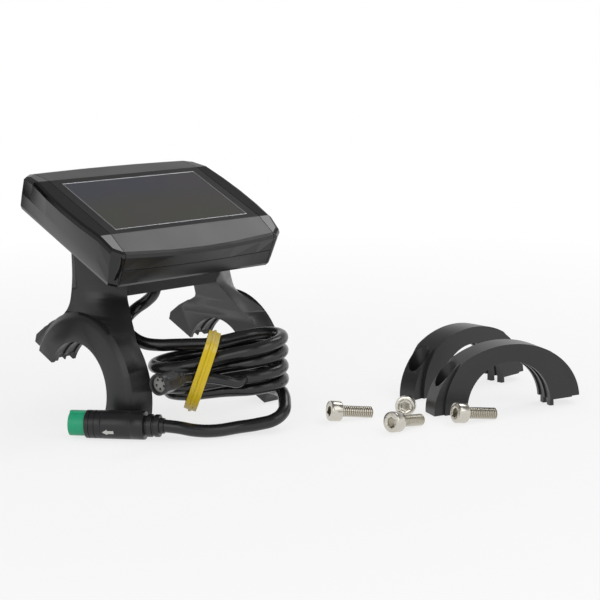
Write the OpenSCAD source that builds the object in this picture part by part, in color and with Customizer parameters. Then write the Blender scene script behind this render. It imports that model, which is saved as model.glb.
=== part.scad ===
// E-bike display on a handlebar bracket, with its clamp caps and screws taken off and its lead tied in a hank.
// The origin is on the handlebar's axis, midway between the two clamps. +X is the rider's right, +Z is up.

/* [Handlebar clamp] */
// Diameter of the handlebar
bar_d = 31.8; // [25.4:0.1:35]
// Distance between the outer faces of the two clamps
clamp_span = 74; // [70:0.5:84]
// Width of one clamp along the handlebar
clamp_w = 10.4; // [9:0.1:12]
// Gap between the bracket and a fitted cap
split_gap = 0.3; // [0.1:0.1:0.6]
// Distance of a clamp screw from the handlebar's axis
screw_reach = 21; // [20.6:0.1:22]
// Depth of the relief between the lips of the clamp
relief_depth = 0.5; // [0.2:0.1:0.8]
// Width of each lip and of the middle rib in the clamp
lip_w = 1.4; // [1:0.1:1.8]
// Tilt of the head and of the split between bracket and caps
tilt = 25.6; // [20:0.1:30]

/* [Head] */
// Width of the head at its corners
head_w = 76; // [74:0.5:84]
// Depth of the head at its corners
head_d = 55.6; // [54:0.2:62]
// Thickness of the head
head_t = 15.1; // [14:0.1:18]
// Height of the screen above the handlebar's axis, square to the screen
face_height = 55.9; // [54:0.1:60]
// Distance of the screen's middle behind the handlebar's axis, along the screen
face_back = 26.4; // [24:0.1:28]
// Bulge of the sides of the head
side_bulge = 2.9; // [0.5:0.1:3.5]
// Bulge of the front of the head
front_bulge = 2.4; // [0.5:0.1:3]
// Bulge of the back of the head
back_bulge = 1.4; // [0.5:0.1:3]
// Fall of the front and back slopes of the head
crown_drop = 1.8; // [0.5:0.1:2.2]
// Radius of the head's edges
head_edge_r = 1.6; // [0.8:0.1:2]
// How far the side walls lean in towards the bottom
side_lean = 1; // [0:0.1:2]
// How far the front wall leans out towards the bottom
front_lean = 0.9; // [0:0.1:1.5]
// Depth of the parting line below the screen
parting_depth = 8.3; // [8:0.1:9]
// Wall of the covers
wall = 2.2; // [2:0.1:2.4]
// Width of the side trims
trim_w = 4.4; // [4:0.1:5]
// Gap between neighbouring covers
seam = 0.2; // [0.1:0.05:0.3]
// Height of the finger recess in the trim's front corner
recess_h = 9.4; // [6:0.2:10]
// Width of the finger recess in the trim's front corner
recess_w = 2.3; // [1.5:0.1:2.6]
// Depth of the finger recess in the trim's front corner
recess_depth = 0.5; // [0.3:0.1:0.7]

/* [Screen] */
// Width of the screen window
window_w = 58.9; // [50:0.1:60]
// Depth of the screen window
window_d = 30.9; // [26:0.1:32]
// Thickness of the window
window_t = 1.3; // [1:0.1:1.5]
// Width of the bright rim round the window
rim_w = 0.5; // [0.3:0.1:0.7]
// Height of the bright rim
rim_t = 0.9; // [0.6:0.1:1.2]
// Width of the ledge that carries the window
ledge_w = 1.6; // [1.2:0.1:2]
// Thickness of the ledge
ledge_t = 1; // [0.8:0.1:1.2]
// Thickness of the gasket under the window
gasket_t = 0.4; // [0.2:0.1:0.5]
// Thickness of the display panel
panel_t = 1.8; // [1.4:0.1:2]
// Thickness of the backlight
backlight_t = 2; // [1.5:0.1:2.2]

/* [Electronics] */
// Thickness of the circuit board
board_t = 1.2; // [1:0.1:1.4]
// Depth of the circuit board
board_d = 37; // [32:0.5:38]
// Width of the circuit board
board_w = 60; // [54:0.5:61]
// Side of the processor
chip_side = 9; // [7:0.5:12]
// Height of the processor
chip_t = 1.1; // [0.8:0.1:1.4]
// Width of the lead's connector on the board
header_w = 10; // [8:0.5:12]
// Depth of the lead's connector on the board
header_d = 4.5; // [4:0.1:6]
// Height of the lead's connector on the board
header_h = 2.2; // [1.6:0.1:2.4]
// Width of the panel's flex
flex_w = 22; // [16:0.5:26]
// Thickness of the panel's flex
flex_t = 0.3; // [0.2:0.05:0.4]

/* [Case screws] */
// Radius of a case boss
boss_r = 2.7; // [2.5:0.1:3]
// Diameter of a case screw
case_screw_d = 2; // [1.8:0.1:2.2]
// Diameter of a case screw's head
case_head_d = 3.8; // [3.4:0.1:4]
// Height of a case screw's head
case_head_h = 1.3; // [1:0.1:1.4]
// Distance of the case screws from the head's middle line, across
boss_x = 28; // [27:0.1:28.5]
// Distance of the case screws from the head's middle line, along
boss_y = 22.3; // [22:0.1:22.8]

/* [Bracket] */
// Half width of the box under the head
plinth_half = 20.2; // [19:0.1:21]
// Height of the box's underside above the handlebar's axis
plinth_low = 30.7; // [30:0.1:33]
// Distance of the box's back face behind the handlebar's axis
plinth_back = 5; // [4.5:0.1:6]
// Distance of the box's front lower edge before the handlebar's axis
plinth_front = 8; // [7.8:0.1:9]
// How far the box's front face leans out at its top
plinth_lean = 2.5; // [1:0.1:3]
// Wall of the box
plinth_wall = 1.7; // [1.5:0.1:2]
// Thickness of the plate that carries the head
plate_t = 3; // [2.5:0.1:3.5]
// Half width of the middle pocket
pocket_half = 5.4; // [5:0.1:6]
// Thickness of the webs between the pockets
web_t = 2.2; // [2:0.1:3]
// Outer radius of the bracket's half clamps
ring_r = 26.8; // [26.4:0.1:28]
// Outer radius of the clamps at their outer faces
ring_face_r = 24.3; // [23.8:0.1:25]
// Half length of a half clamp at its rear hook
hook_l = 29.5; // [28.8:0.1:30]
// Width of the chamfer at the outer faces
ring_chamfer = 2; // [1.5:0.1:2.5]
// Height of the legs' tops above the handlebar's axis, before they are cut to the head
leg_top = 50; // [50:0.5:54]
// Diameter of the screws that hold the head
mount_screw_d = 3; // [2.5:0.1:3.2]
// Diameter of those screws' heads
mount_head_d = 5.4; // [5:0.1:5.6]
// Height of those screws' heads
mount_head_h = 1.8; // [1.6:0.1:2]
// Length of those screws below their heads
mount_screw_l = 6; // [5.5:0.1:6.5]
// Distance of those screws from the middle
mount_screw_x = 12.6; // [12:0.1:13.5]

/* [Clamp caps] */
// Half length of a cap over its ears
ear_reach = 27.8; // [27:0.1:29]
// Height of a cap over the handlebar's axis
cap_h = 22; // [21.6:0.1:23]
// Height of a peg's root in its cap
peg_root = 5.4; // [4.5:0.1:6]
// How far the ears are set back from the cap's faces
ear_setback = 1.2; // [0.5:0.1:1.5]
// Diameter of the pocket for a clamp screw's head
pocket_d = 7.8; // [7.4:0.1:8]
// Height of the pocket's floor above the split
pocket_floor = 6.6; // [6:0.1:7]
// Diameter of the hole under the pocket
clearance_d = 4.4; // [4.2:0.1:4.6]
// Length of a cap's locating pegs
peg_l = 2.6; // [2:0.1:3]
// Thickness of a peg
peg_t = 1.6; // [1.2:0.1:1.8]
// Width of a peg along the handlebar
peg_w = 2.4; // [2:0.1:3]
// Clearance round a peg in the bracket
peg_gap = 0.2; // [0.1:0.05:0.3]

/* [Clamp screws] */
// Diameter of a clamp screw
screw_d = 4; // [3.8:0.1:4]
// Length of a clamp screw below its head
screw_l = 12; // [10:0.5:13]
// Diameter of a clamp screw's head
screw_head_d = 7; // [6.8:0.1:7.2]
// Height of a clamp screw's head
screw_head_h = 4; // [3.5:0.1:4.2]
// Width across the flats of the hex socket
hex_af = 3; // [2.5:0.1:3.2]
// Depth of the hex socket
hex_depth = 2.2; // [1.5:0.1:2.5]
// Outer diameter of the threaded inserts
insert_d = 5.2; // [5:0.1:5.4]
// Length of the threaded inserts
insert_l = 7; // [6:0.5:8]

/* [Lead] */
// Diameter of the lead
lead_d = 4.3; // [4:0.1:4.4]
// Diameter of the gland's neck in the case
gland_d = 6.4; // [6:0.1:6.6]
// Diameter of the gland's flange inside the case
gland_flange_d = 9; // [8:0.1:10]
// Thickness of the gland's flange
gland_flange_t = 1; // [0.8:0.1:1.2]
// Length of the gland below the case
gland_l = 12; // [10:0.5:12]
// Distance of the gland from the middle, to the rider's left
gland_left = 1; // [0:0.1:1.5]
// Distance of the gland behind the handlebar's axis, along the split
gland_back = 13.6; // [13.2:0.1:14]
// Turns of the hank
hank_turns = 4.3; // [4.3]
// Mean radius of the hank's ends
hank_r = 11.2; // [11:0.1:12]
// How far the loops lie in and out of the mean
hank_weave = 2.45; // [2.4:0.01:2.6]
// Half length of the hank's straight runs
hank_run = 9.2; // [8:0.1:10]
// How far the loops are drawn in at the waist
hank_waist = 1.2; // [0:0.1:1.5]
// Mean rise of one turn
hank_step = 3.95; // [3.9:0.01:4.2]
// How much more the rise is at the loose end of the hank, and less at the other
hank_fan = 0.95; // [0.8:0.01:1]

/* [Plug] */
// Diameter of the plug's body
plug_d = 9.5; // [9:0.1:10]
// Diameter of the plug's collar
collar_d = 9.4; // [9:0.1:10]
// Diameter of the plug's insert
plug_insert_d = 7.9; // [7:0.1:8.2]
// Length of the insert in front of the collar
plug_insert_l = 5.6; // [4:0.1:7]
// Length of the collar
collar_l = 5.6; // [5:0.1:6.5]
// Length of the plug's body
plug_l = 14.4; // [12:0.1:16]
// Length of the strain relief
relief_l = 6.4; // [5:0.1:7]
// Diameter of the strain relief's rings
relief_d = 7.6; // [7:0.1:8]
// Diameter of the plug's pins
pin_d = 0.7; // [0.5:0.1:0.9]

/* [Socket] */
// Diameter of the socket's body
socket_d = 7.2; // [7:0.1:8]
// Length of the socket's body
socket_l = 9; // [8:0.1:11]
// Diameter of the socket's insert
socket_insert_d = 5.4; // [5:0.1:5.8]
// Depth of the insert behind the socket's rim
socket_recess = 1.2; // [0.8:0.1:2]
// Length of the socket's strain relief
socket_relief_l = 3; // [2:0.1:4]
// Diameter of the keypad lead
branch_d = 3.6; // [3.2:0.1:3.8]

/* [Tie] */
// Thickness of the tie
tie_t = 0.8; // [0.6:0.1:1.2]
// Width of the tie
tie_w = 4.2; // [3:0.1:5]
// Clearance between the tie and the lead
tie_gap = 0.8; // [0.75:0.05:1]
// Lean of the tie along the hank
tie_lean = 20; // [0:1:22]

/* [Hidden] */
$fn = 64;
over = 1;                               // how far a cut runs past what it cuts
fit = 0.05;                             // radial clearance of a fitted hole
skin = 0.3;                             // gap between soft pieces and their neighbours
bar_r = bar_d / 2;
half_span = clamp_span / 2;
clamp_in = half_span - clamp_w;         // inner face of a clamp
table_z = -12.43;                       // what the feet, caps, screws and plug stand on

// frames
module tilted() rotate([tilt, 0, 0]) children();
module on_head() tilted() translate([0, face_back, face_height]) children();
module both_sides() for (side = [0, 1]) mirror([side, 0, 0]) children();
// a profile drawn in (back, up) and given a width to the right
module across(width) rotate([90, 0, 90]) linear_extrude(width) children();
module block(low, high) translate(low) cube(high - low);

// lofts
function ring_sides(count, rings) = [for (r = [0 : rings - 2], i = [0 : count - 1]) let (
    a = r * count + i, b = r * count + (i + 1) % count) each [[a, b + count, b], [a, a + count, b + count]]];
module loft(rings, top_faces = []) {
    count = len(rings[0]);
    last = (len(rings) - 1) * count;
    whole = [for (i = [0 : count - 1]) i];
    top = len(top_faces) > 0 ? top_faces : [whole];
    polyhedron(points = [for (r = rings) each r], faces = concat(ring_sides(count, len(rings)), [whole],
        [for (f = top) [for (i = [len(f) - 1 : -1 : 0]) last + f[i]]]));
}
// a curve through four values, between the middle two
function flow(a, b, c, d, s) = b + s * ((c - a) / 2 + s * (a - b * 5 / 2 + c * 2 - d / 2 + s * (d - a + (b - c) * 3) / 2));
function flowed(rows, steps) = [for (i = [0 : len(rows) - 2], k = [0 : steps - 1])
    flow(rows[max(i - 1, 0)], rows[i], rows[i + 1], rows[min(i + 2, len(rows) - 1)], k / steps), rows[len(rows) - 1]];

// head, in its own frame: X to the right, Y towards its back edge, Z square to the screen, 0 on the screen's plane
edge_shares = [0.035, 0.15, 0.325, 0.5, 0.675, 0.85, 0.965];
crease_share = 0.15;
top_shares = [[26, 27, 0, 1, 2, 3, 4, 5, 6, 7, 8], [8, 9, 10, 11, 12, 22, 23, 24, 25, 26],
    [12, 13, 14, 15, 16, 17, 18, 19, 20, 21, 22]];
// each level of the head's form: place between bottom and parting or top, lean, bulge, edge, crown
function bowed(a, b, bulge) = [for (s = edge_shares) let (d = b - a) a + d * s
    + [d[1], -d[0]] / norm(d) * bulge * 4 * s * (1 - s)];
function outline(x, front, back, bulge) = concat(
    bowed([-x, -front], [x, -front], front_bulge * bulge), bowed([x, -front], [x, back], side_bulge * bulge),
    bowed([x, back], [-x, back], back_bulge * bulge), bowed([-x, back], [-x, -front], side_bulge * bulge));
function fall(v, front, back) = let (run = (front + back) * crease_share)
    max(0, (run - front - v) / run, (v - back + run) / run);
function level_ring(shrink, z, inset, lean, bulge, crown) = let (
    x = head_w / 2 - shrink - inset - side_lean * lean,
    front = head_d / 2 - shrink - inset + front_lean * lean,
    back = head_d / 2 - shrink - inset)
    [for (p = outline(x, front, back, bulge)) [p[0], p[1], z - crown * crown_drop * fall(p[1], front, back)]];
module head_form(shrink, top, bottom) {
    e = head_edge_r;
    loft([
        level_ring(shrink, bottom, e * 0.9, 1, 0.05, 0), level_ring(shrink, bottom + e * 0.3, e * 0.3, 1, 0.05, 0),
        level_ring(shrink, bottom + e, 0, 1, 0.05, 0), level_ring(shrink, -parting_depth, 0, 0.45, 0.5, 0.2),
        level_ring(shrink, top - e, 0, 0, 1, 1), level_ring(shrink, top - e * 0.3, e * 0.3, 0, 1, 1),
        level_ring(shrink, top, e * 0.9, 0, 1, 1)], top_shares);
}
head_reach = head_w / 2 + side_bulge + over;
head_room = head_d / 2 + front_bulge + front_lean + over;
cover_half = head_w / 2 - trim_w;       // where the side trims begin
ledge_top = -window_t - gasket_t;
skin_level = ledge_top - ledge_t;       // underside of the cover's top
floor_level = -head_t + wall;
module slab(low, high, half) block([-half, -head_room, low], [half, head_room, high]);
module cavity() intersection() {
    head_form(wall, skin_level, floor_level);
    slab(-head_t, 0, cover_half - wall);
}
module at_bosses() for (x = [-boss_x, boss_x], y = [-boss_y, boss_y]) translate([x, y, 0]) children();
boss_top = skin_level - crown_drop;

module top_cover() color("#17181a") on_head() difference() {
    union() {
        difference() {
            intersection() {
                head_form(0, 0, -head_t);
                slab(-parting_depth + seam / 2, over, cover_half);
            }
            cavity();
        }
        at_bosses() translate([0, 0, -parting_depth + seam / 2])
            cylinder(h = parting_depth - seam / 2 + skin_level + ledge_t / 2, r = boss_r);
    }
    block([-window_w / 2 - rim_w - fit, -window_d / 2 - rim_w - fit, ledge_top],
        [window_w / 2 + rim_w + fit, window_d / 2 + rim_w + fit, over]);
    block([-window_w / 2 + ledge_w, -window_d / 2 + ledge_w, -parting_depth],
        [window_w / 2 - ledge_w, window_d / 2 - ledge_w, over]);
    at_bosses() translate([0, 0, -parting_depth - over])
        cylinder(h = parting_depth + over + boss_top, d = case_screw_d + fit);
}
seal_w = wall / 3;
seal_h = wall / 3;
module seal_ring(low, high, side) translate([0, 0, low]) linear_extrude(high - low) difference() {
    seal_outline(wall / 3 - side);
    seal_outline(wall / 3 + seal_w + side);
}
module seal_outline(inset) intersection() {
    polygon(outline(head_w / 2 - side_lean / 2 - inset, head_d / 2 - inset, head_d / 2 - inset, 1 / 2));
    square([2 * (cover_half - inset), 2 * head_room], center = true);
}
gland_y = gland_back - face_back;       // the gland in the head's frame
module bottom_case() color("#141517") on_head() difference() {
    union() {
        difference() {
            intersection() {
                head_form(0, 0, -head_t);
                slab(-head_t - over, -parting_depth - seam / 2, cover_half);
            }
            cavity();
        }
        at_bosses() translate([0, 0, -head_t + head_edge_r]) cylinder(
            h = head_t - head_edge_r - parting_depth - seam / 2, r = boss_r);
        for (x = [-mount_screw_x, mount_screw_x]) translate([x, gland_y, -head_t + head_edge_r])
            cylinder(h = mount_screw_l - plate_t, r = boss_r);
    }
    at_bosses() translate([0, 0, -head_t - over]) {
        cylinder(h = head_t, d = case_screw_d + 2 * fit);
        cylinder(h = over + case_head_h + fit, d = case_head_d + 2 * fit);
    }
    for (x = [-mount_screw_x, mount_screw_x]) translate([x, gland_y, -head_t - over])
        cylinder(h = over + mount_screw_l - plate_t + fit, d = mount_screw_d + fit);
    translate([-gland_left, gland_y, -head_t - over]) cylinder(h = head_t, d = gland_d + 2 * fit);
    seal_ring(-parting_depth - seam / 2 - seal_h / 2, 0, fit);
}
module case_seal() color("#3a3a3c") on_head()
    seal_ring(-parting_depth - seam / 2 - seal_h / 2 + fit, -parting_depth + seam / 2, 0);
lens_r = (pow(recess_h, 2) + pow(recess_w, 2)) / (4 * recess_w);
module side_trim() difference() {
    intersection() {
        head_form(0, 0, -head_t);
        block([cover_half + seam, -head_room, -head_t - over], [head_reach, head_room, over]);
    }
    intersection() {
        head_form(wall, -wall, floor_level);
        block([cover_half, -head_room, -head_t], [head_reach, head_room, 0]);
    }
    translate([cover_half + seam + recess_w * 0.7, -head_d / 2 - front_lean / 2 + recess_depth, -head_t / 2])
        rotate([90, 0, 0]) linear_extrude(head_d) intersection() {
            translate([lens_r - recess_w / 2, 0]) circle(lens_r);
            translate([recess_w / 2 - lens_r, 0]) circle(lens_r);
        }
}
module left_side_trim() color("#0c0c0e") on_head() mirror([1, 0, 0]) side_trim();
module right_side_trim() color("#0c0c0e") on_head() side_trim();

// screen and electronics
window_sink = 0.15;
module centred(width, depth, low, high) block([-width / 2, -depth / 2, low], [width / 2, depth / 2, high]);
module screen_window() color("#26282b") on_head() centred(window_w, window_d, ledge_top + gasket_t, -window_sink);
module window_rim() color("#b9bcc0") on_head() difference() {
    centred(window_w + 2 * rim_w, window_d + 2 * rim_w, -rim_t, 0);
    centred(window_w + 2 * fit, window_d + 2 * fit, -rim_t - over, over);
}
module window_gasket() color("#2c2c2e") on_head() difference() {
    centred(window_w, window_d, ledge_top, ledge_top + gasket_t);
    centred(window_w - 2 * ledge_w, window_d - 2 * ledge_w, ledge_top - over, over);
}
panel_top = skin_level;
board_top = panel_top - panel_t - backlight_t - skin;
module display_panel() color("#3b4145") on_head()
    centred(window_w - ledge_w, window_d + ledge_w, panel_top - panel_t, panel_top);
module backlight() color("#e9e9e4") on_head()
    centred(window_w - ledge_w, window_d + ledge_w, panel_top - panel_t - backlight_t, panel_top - panel_t);
flex_out = 1.2;
module panel_flex() color("#b8792c") on_head() translate([-flex_w / 2, 0, 0]) across(flex_w) polygon([
    [-window_d / 2 - ledge_w / 2, panel_top - panel_t / 2], [-window_d / 2 - flex_out - flex_t, panel_top - panel_t / 2],
    [-window_d / 2 - flex_out - flex_t, board_top], [-window_d / 2, board_top],
    [-window_d / 2, board_top + flex_t], [-window_d / 2 - flex_out, board_top + flex_t],
    [-window_d / 2 - flex_out, panel_top - panel_t / 2 - flex_t],
    [-window_d / 2 - ledge_w / 2, panel_top - panel_t / 2 - flex_t]]);
module main_board() color("#1f5a36") on_head() centred(board_w, board_d, board_top - board_t, board_top);
module processor() color("#202022") on_head() translate([chip_side, 0, board_top - board_t - chip_t])
    block([0, 0, 0], [chip_side, chip_side, chip_t]);
module lead_header() color("#e8e6da") on_head() translate([-gland_left - header_w / 2, header_d / 2, board_top - board_t - header_h])
    block([0, 0, 0], [header_w, header_d, header_h]);
module case_screws() color("#8d9094") on_head() at_bosses() translate([0, 0, -head_t]) {
    cylinder(h = case_head_h, d = case_head_d);
    cylinder(h = head_t + boss_top - over, d = case_screw_d - fit);
}
module lead_gland() color("#1c1c1e") on_head() translate([-gland_left, gland_y, 0]) {
    translate([0, 0, floor_level]) cylinder(h = gland_flange_t, d = gland_flange_d);
    translate([0, 0, -head_t]) cylinder(h = head_t + floor_level, d = gland_d);
    translate([0, 0, -head_t - gland_l]) cylinder(h = gland_l, d1 = lead_d + 2 * fit, d2 = gland_d);
}

// bracket: a box under the head, two splayed legs and two half clamps
head_base = face_height - head_t;       // the head's underside, square to the split
ring_flat = half_span - ring_chamfer;   // where the chamfer of the outer face begins
ring_shift_share = -0.045;              // the half clamps' outer arc lies a little low and forward
// where the legs' five corners are at each height, from the top down: height as a share of the legs' height, then
// right and back of each corner as shares of the chamfer's place and of the half clamps' radius
leg_shares = [
    [1, 0.571, -0.355, 0.657, -0.317, 0.971, 0.075, 0.971, 0.175, 0.571, 0.175],
    [0.92, 0.571, -0.355, 0.657, -0.317, 0.971, 0.075, 0.971, 0.175, 0.571, 0.175],
    [0.76, 0.577, -0.336, 0.671, -0.291, 0.971, 0.045, 0.971, 0.175, 0.577, 0.18],
    [0.62, 0.583, -0.299, 0.691, -0.254, 0.983, -0.011, 0.989, 0.187, 0.583, 0.187],
    [0.54, 0.629, -0.41, 0.783, -0.384, 0.989, -0.056, 0.994, 0.246, 0.629, 0.224],
    [0.47, 0.671, -0.515, 0.891, -0.515, 0.994, -0.112, 0.997, 0.392, 0.671, 0.284],
    [0.4, 0.714, -0.634, 0.999, -0.634, 0.999, -0.299, 0.999, 0.672, 0.714, 0.597],
    [0.33, 0.76, -0.75, 0.999, -0.75, 0.999, -0.45, 0.999, 0.672, 0.76, 0.634]];
leg_steps = 3;
module leg() loft([for (row = flowed([for (i = [len(leg_shares) - 1 : -1 : 0]) leg_shares[i]], leg_steps))
    [for (i = [1 : 2 : 9]) [row[i] * ring_flat, row[i + 1] * ring_r, row[0] * leg_top]]]);
// the hook that holds the rear insert, in the plane of the split: along the split and up from it, as shares
hook_shares = [[0, 0], [0.987, 0], [1, 0.1], [0.889, 0.282], [0.769, 0.426], [0.591, 0.567], [0, 0.567]];
module upper_half() translate([-hook_l - over, split_gap / 2]) square([2 * (hook_l + over), ring_r + over]);
module ring_blank() {
    shift = ring_shift_share * ring_r;
    translate([clamp_in, 0, 0]) across(ring_flat - clamp_in) intersection() {
        union() {
            translate([shift, shift]) circle(ring_r);
            polygon(hook_shares * hook_l);
        }
        upper_half();
    }
    intersection() {
        translate([ring_flat, shift / 2, shift / 2]) rotate([0, 90, 0])
            cylinder(h = ring_chamfer, r1 = ring_r, r2 = ring_face_r);
        translate([ring_flat, 0, 0]) across(ring_chamfer) upper_half();
    }
}
// the clamp's bore: full radius at the two lips and the middle rib, relieved between them
module clamp_bore(width) {
    pad = (width - 3 * lip_w) / 2;
    translate([-over, 0, 0]) rotate([0, 90, 0]) cylinder(h = width + 2 * over, r = bar_r);
    for (x = [lip_w, 2 * lip_w + pad]) translate([x, 0, 0]) rotate([0, 90, 0])
        cylinder(h = pad, r = bar_r + relief_depth);
}
insert_x = clamp_in + (ring_flat - clamp_in) / 2;
module at_inserts() for (p = [-screw_reach, screw_reach]) translate([insert_x, p, 0]) children();
peg_in = bar_r + relief_depth / 2;      // inner face of a peg, from the handlebar's axis
module plinth_outline(inset, top) polygon([
    [inset - plinth_front, plinth_low - over * (inset > 0 ? 1 : 0)],
    [inset - plinth_front - plinth_lean, top], [plinth_back - inset, top],
    [plinth_back - inset, plinth_low - over * (inset > 0 ? 1 : 0)]]);
module pocket(low, high) intersection() {
    translate([low, 0, 0]) across(high - low) plinth_outline(plinth_wall, leg_top);
    tilted() block([low, -ring_r, 0], [high, 2 * ring_r, head_base - plate_t]);
}
module at_mount_screws() for (x = [-mount_screw_x, mount_screw_x]) tilted() translate([x, gland_back, 0]) children();
module bracket() color("#1b1c1e") difference() {
    union() {
        intersection() {
            union() {
                both_sides() leg();
                translate([-plinth_half, 0, 0]) across(2 * plinth_half) plinth_outline(0, leg_top);
            }
            tilted() block([-half_span, -2 * ring_r, 0], [half_span, 2 * ring_r, head_base]);
        }
        tilted() both_sides() ring_blank();
    }
    tilted() both_sides() {
        translate([clamp_in, 0, 0]) clamp_bore(clamp_w);
        at_inserts() cylinder(h = insert_l + split_gap + fit, d = insert_d + 2 * fit);
        for (x = [clamp_in + lip_w, half_span - lip_w - peg_w - ring_chamfer]) translate([x - peg_gap, bar_r - over, 0])
            cube([peg_w + 2 * peg_gap, peg_in - bar_r + over + peg_t + peg_gap, peg_l + peg_gap]);
    }
    pocket(-pocket_half, pocket_half);
    both_sides() pocket(pocket_half + web_t, plinth_half - plinth_wall);
    tilted() translate([-gland_left, gland_back, head_base - plate_t - over])
        cylinder(h = plate_t + 2 * over, d = gland_d + 2 * fit);
    at_mount_screws() translate([0, 0, head_base - plate_t - over])
        cylinder(h = plate_t + 2 * over, d = mount_screw_d + 2 * fit);
}
module bracket_screws() color("#a9adb1") at_mount_screws() {
    translate([0, 0, head_base - plate_t - mount_head_h]) cylinder(h = mount_head_h, d = mount_head_d);
    translate([0, 0, head_base - plate_t - fit]) cylinder(h = mount_screw_l + fit, d = mount_screw_d);
}
module thread_inserts() color("#b08d3c") tilted() both_sides() at_inserts()
    translate([0, 0, split_gap / 2]) difference() {
        cylinder(h = insert_l, d = insert_d);
        translate([0, 0, -over]) cylinder(h = insert_l + 2 * over, d = screw_d);
    }

// clamp caps: drawn standing on the split, X across the clamp from its outer face, Y along the ears
// ears and arch share one outline, half an ellipse; only the arch's ring is as wide as the clamp
cap_step = 4;
cap_outline = [for (a = [0 : cap_step : 180]) [ear_reach * cos(a), cap_h * sin(a)]];
module cap_arch() intersection() {
    polygon(cap_outline);
    translate([-ear_reach - over, split_gap / 2]) square([2 * (ear_reach + over), ring_r]);
}
module clamp_cap() difference() {
    union() {
        across(clamp_w) intersection() {
            circle(ring_face_r);
            cap_arch();
        }
        translate([ear_setback, 0, 0]) across(clamp_w - 2 * ear_setback) cap_arch();
        for (x = [lip_w, clamp_w - lip_w - peg_w]) translate([x, -peg_in - peg_t, split_gap / 2 - peg_l])
            cube([peg_w, peg_t, peg_l + peg_root]);
    }
    clamp_bore(clamp_w);
    for (p = [-screw_reach, screw_reach]) translate([clamp_w / 2, p, 0]) {
        translate([0, 0, -over]) cylinder(h = ring_r, d = clearance_d);
        translate([0, 0, pocket_floor]) cylinder(h = ring_r, d = pocket_d);
    }
}
// each loose cap stands on its pegs and on the foot at its other end: place of its outer face, and its turn
cap_lean = asin((peg_l - split_gap / 2) / (ear_reach + peg_in + peg_t));
cap_rise = ear_reach * sin(cap_lean) - split_gap / 2 * cos(cap_lean);
module stood_cap(place, turn) color("#1b1c1e") translate([place[0], place[1], table_z + cap_rise])
    rotate([0, 0, turn]) rotate([-cap_lean, 0, 0]) clamp_cap();
near_cap_place = [76.2, -97];
near_cap_turn = 64.4;
far_cap_place = [94.1, -65.4];
far_cap_turn = 84.3;
module near_clamp_cap() stood_cap(near_cap_place, near_cap_turn);
module far_clamp_cap() stood_cap(far_cap_place, far_cap_turn);

// clamp screws: each lies on its head's rim and on its tip; place of the head's outer end, and its turn
module clamp_screw() difference() {
    union() {
        cylinder(h = screw_head_h, d = screw_head_d);
        cylinder(h = screw_head_h + screw_l, d = screw_d);
    }
    translate([0, 0, -over]) cylinder(h = over + hex_depth, d = hex_af / cos(30), $fn = 6);
}
screw_lean = asin((screw_head_d - screw_d) / 2 / screw_l);
module laid_screw(place, turn) color("#b4b7ba")
    translate([place[0], place[1], table_z + screw_head_d / 2 * cos(screw_lean)
        + screw_head_h * sin(screw_lean)])
        rotate([0, 0, turn]) rotate([0, 90 + screw_lean, 0]) clamp_screw();
screw_places = [[21.8, -62.5, -24.3], [43.8, -77.4, 36], [23.2, -89.7, 2.4], [47.8, -96.4, -20.3]];
module placed_screw(i) laid_screw(screw_places[i], screw_places[i][2]);
module clamp_screw_1() placed_screw(0);
module clamp_screw_2() placed_screw(1);
module clamp_screw_3() placed_screw(2);
module clamp_screw_4() placed_screw(3);

// leads: swept tubes along routes of hand-chosen points
function cross_unit(a, b) = let (c = cross(a, b)) c / norm(c);
function ahead(path, i) = let (v = path[min(i + 1, len(path) - 1)] - path[max(i - 1, 0)]) v / norm(v);
function tube_ring(path, i, r, sides, first, last) = let (
    d = i == 0 && len(first) > 0 ? first / norm(first) : i == len(path) - 1 && len(last) > 0 ? last / norm(last)
        : ahead(path, i),
    u = cross_unit(abs(d[2]) > 0.9 ? [1, 0.2, 0] : [0, 0, 1], d), w = cross(d, u))
    [for (k = [0 : sides - 1]) path[i] + r * (cos(360 * k / sides) * u + sin(360 * k / sides) * w)];
module tube(path, d, sides, first = [], last = [])
    loft([for (i = [0 : len(path) - 1]) tube_ring(path, i, d / 2, sides, first, last)]);

// hank: its own frame has A along its runs, D away from the viewer and Z up
hank_turn = -44.4;
hank_place = [-5.2, -38.7];
hank_low = -1.8;
function hank_xy(a, d) = [hank_place[0] + a * cos(hank_turn) - d * sin(hank_turn),
    hank_place[1] + a * sin(hank_turn) + d * cos(hank_turn)];
// t counts turns from the middle of the loose end; each turn is half circle, run, half circle, run
function hank_point(t) = let (
    r = hank_r + hank_weave * cos(180 * (t + 0.5)),
    u = t - floor(t),
    bend = 180 * hank_r, arc_share = bend / 180 * PI / (2 * PI * hank_r + 4 * hank_run),
    run_share = 0.5 - arc_share,
    q = u < arc_share / 2 ? [1, u / arc_share * 180]
        : u < arc_share / 2 + run_share ? [1 - 2 * (u - arc_share / 2) / run_share, 90]
        : u < arc_share * 1.5 + run_share ? [-1, 90 + (u - arc_share / 2 - run_share) / arc_share * 180]
        : u < 1 - arc_share / 2 ? [2 * (u - arc_share * 1.5 - run_share) / run_share - 1, 270]
        : [1, 270 + (u - 1 + arc_share / 2) / arc_share * 180],
    draw = abs(q[0]) < 1 ? hank_waist * (1 + cos(180 * q[0])) / 2 : 0,
    p = hank_xy(q[0] * hank_run + r * cos(q[1]), (r - draw) * sin(q[1])))
    [p[0], p[1], hank_low + t * (hank_step + hank_fan * cos(360 * u))];
rings_per_turn = 24;
hank_path = [for (i = [0 : round(hank_turns * rings_per_turn)]) hank_point(i / rings_per_turn)];
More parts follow.
